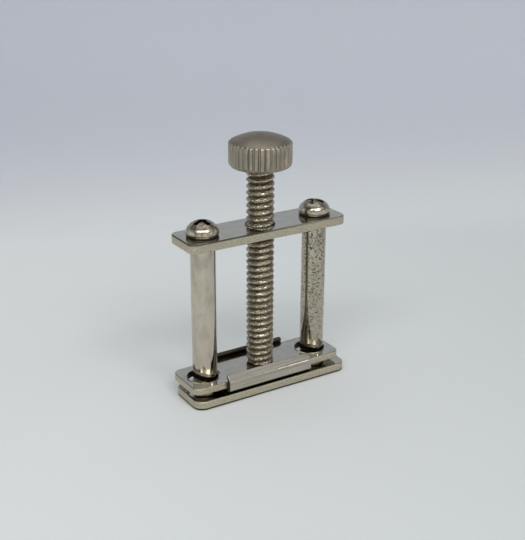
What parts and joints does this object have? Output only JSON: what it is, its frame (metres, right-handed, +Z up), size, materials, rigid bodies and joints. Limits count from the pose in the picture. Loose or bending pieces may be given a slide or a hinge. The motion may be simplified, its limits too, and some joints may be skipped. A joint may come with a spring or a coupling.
{
  "type": "tubing pinch clamp",
  "caption": "Open-frame tubing clamp: a knurled thumb screw in a bridge bar drives a sliding jaw plate, wrapped in a folded clip, down its pillars onto a flat base bar.",
  "frame": {"origin": "middle of the clamp's underside, on the surface it stands on, below the thumb screw's axis", "axes": "+Z up along the thumb screw and the pillars, +X along the bars from the left pillar to the right one, -Y the front"},
  "size_m": [0.0388, 0.0134, 0.0566],
  "materials": {
    "bar_nickel": "bright nickel plate on rolled steel strip, faintly brushed edges",
    "pillar_nickel": "nickel plate on turned steel rod, finely scratched, pitted in places",
    "pan_nickel": "bright nickel plate on pan-head machine screws",
    "screw_nickel": "nickel plate on a rolled coarse thread, darker in the roots",
    "knob_nickel": "dull grey-brown nickel with a straight knurl",
    "clip_nickel": "satin nickel plate on folded thin sheet, with fine lines along the folds"
  },
  "bodies": {
    "frame": {"base_bar": "bar_nickel", "pillar_left": "pillar_nickel", "pillar_right": "pillar_nickel", "bridge_bar": "bar_nickel", "post_screw_left": "pan_nickel", "post_screw_right": "pan_nickel"},
    "jaw": {"jaw_plate": "bar_nickel", "jaw_clip": "clip_nickel"},
    "screw": {"thumb_screw": "screw_nickel", "knob": "knob_nickel"}
  },
  "joints": [
    {"name": "jaw_slide", "type": "slide", "parent": "frame", "child": "jaw", "axis": [0, 0, 1], "range_m": [-0.00028, 0.02805]},
    {"name": "screw_turn", "type": "hinge", "parent": "jaw", "child": "screw", "pos_m": [0, 0, 0.0039], "axis": [0, 0, 1], "range_deg": [-72, 7162]}
  ],
  "couplings": [
    {"joint": "screw_turn", "follows": "jaw_slide", "rad_per_m": 4456.2}
  ]
}
